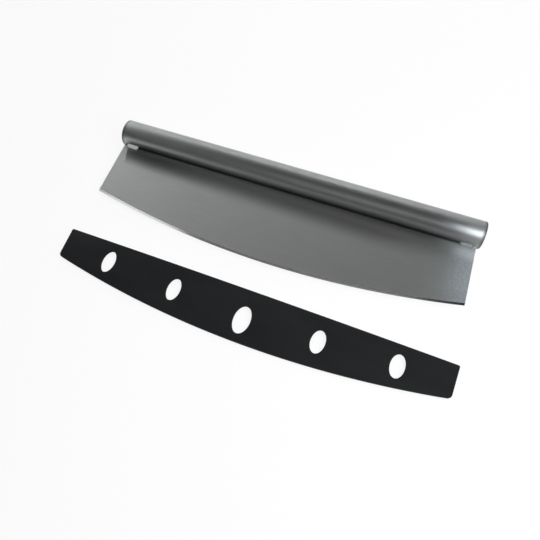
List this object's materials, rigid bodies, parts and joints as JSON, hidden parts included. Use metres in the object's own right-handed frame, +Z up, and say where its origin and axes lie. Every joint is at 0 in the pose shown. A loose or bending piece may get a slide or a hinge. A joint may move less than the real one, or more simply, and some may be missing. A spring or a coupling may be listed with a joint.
{
  "type": "rocking pizza knife",
  "caption": "Rocking pizza knife: a wide curved steel blade welded under a round steel tube handle, with a slide-on plastic blade guard pierced by oval holes.",
  "frame": {"origin": "on the table, under the middle of the box round the knife and the guard laid in front of it", "axes": "+X along the handle to the right, +Y from the guard towards the handle, +Z up from the table"},
  "size_m": [0.3693, 0.1756, 0.0254],
  "materials": {
    "tube_steel": "satin, brushed round the tube",
    "cap_steel": "satin, turned",
    "blade_steel": "fine satin, brushed along the blade, with a ground bevel",
    "weld_steel": "ground weld",
    "guard_plastic": "matt, finely textured"
  },
  "bodies": {
    "knife": {"handle_tube": "tube_steel", "end_cap_left": "cap_steel", "end_cap_right": "cap_steel", "blade": "blade_steel", "weld_front_left": "weld_steel", "weld_front_right": "weld_steel", "weld_back_left": "weld_steel", "weld_back_right": "weld_steel"},
    "guard": {"blade_guard": "guard_plastic"}
  },
  "joints": [
    {"name": "guard_slide", "type": "slide", "parent": "knife", "child": "guard", "axis": [0, 0.9977, 0.0678], "range_m": [0, 0.069]}
  ]
}
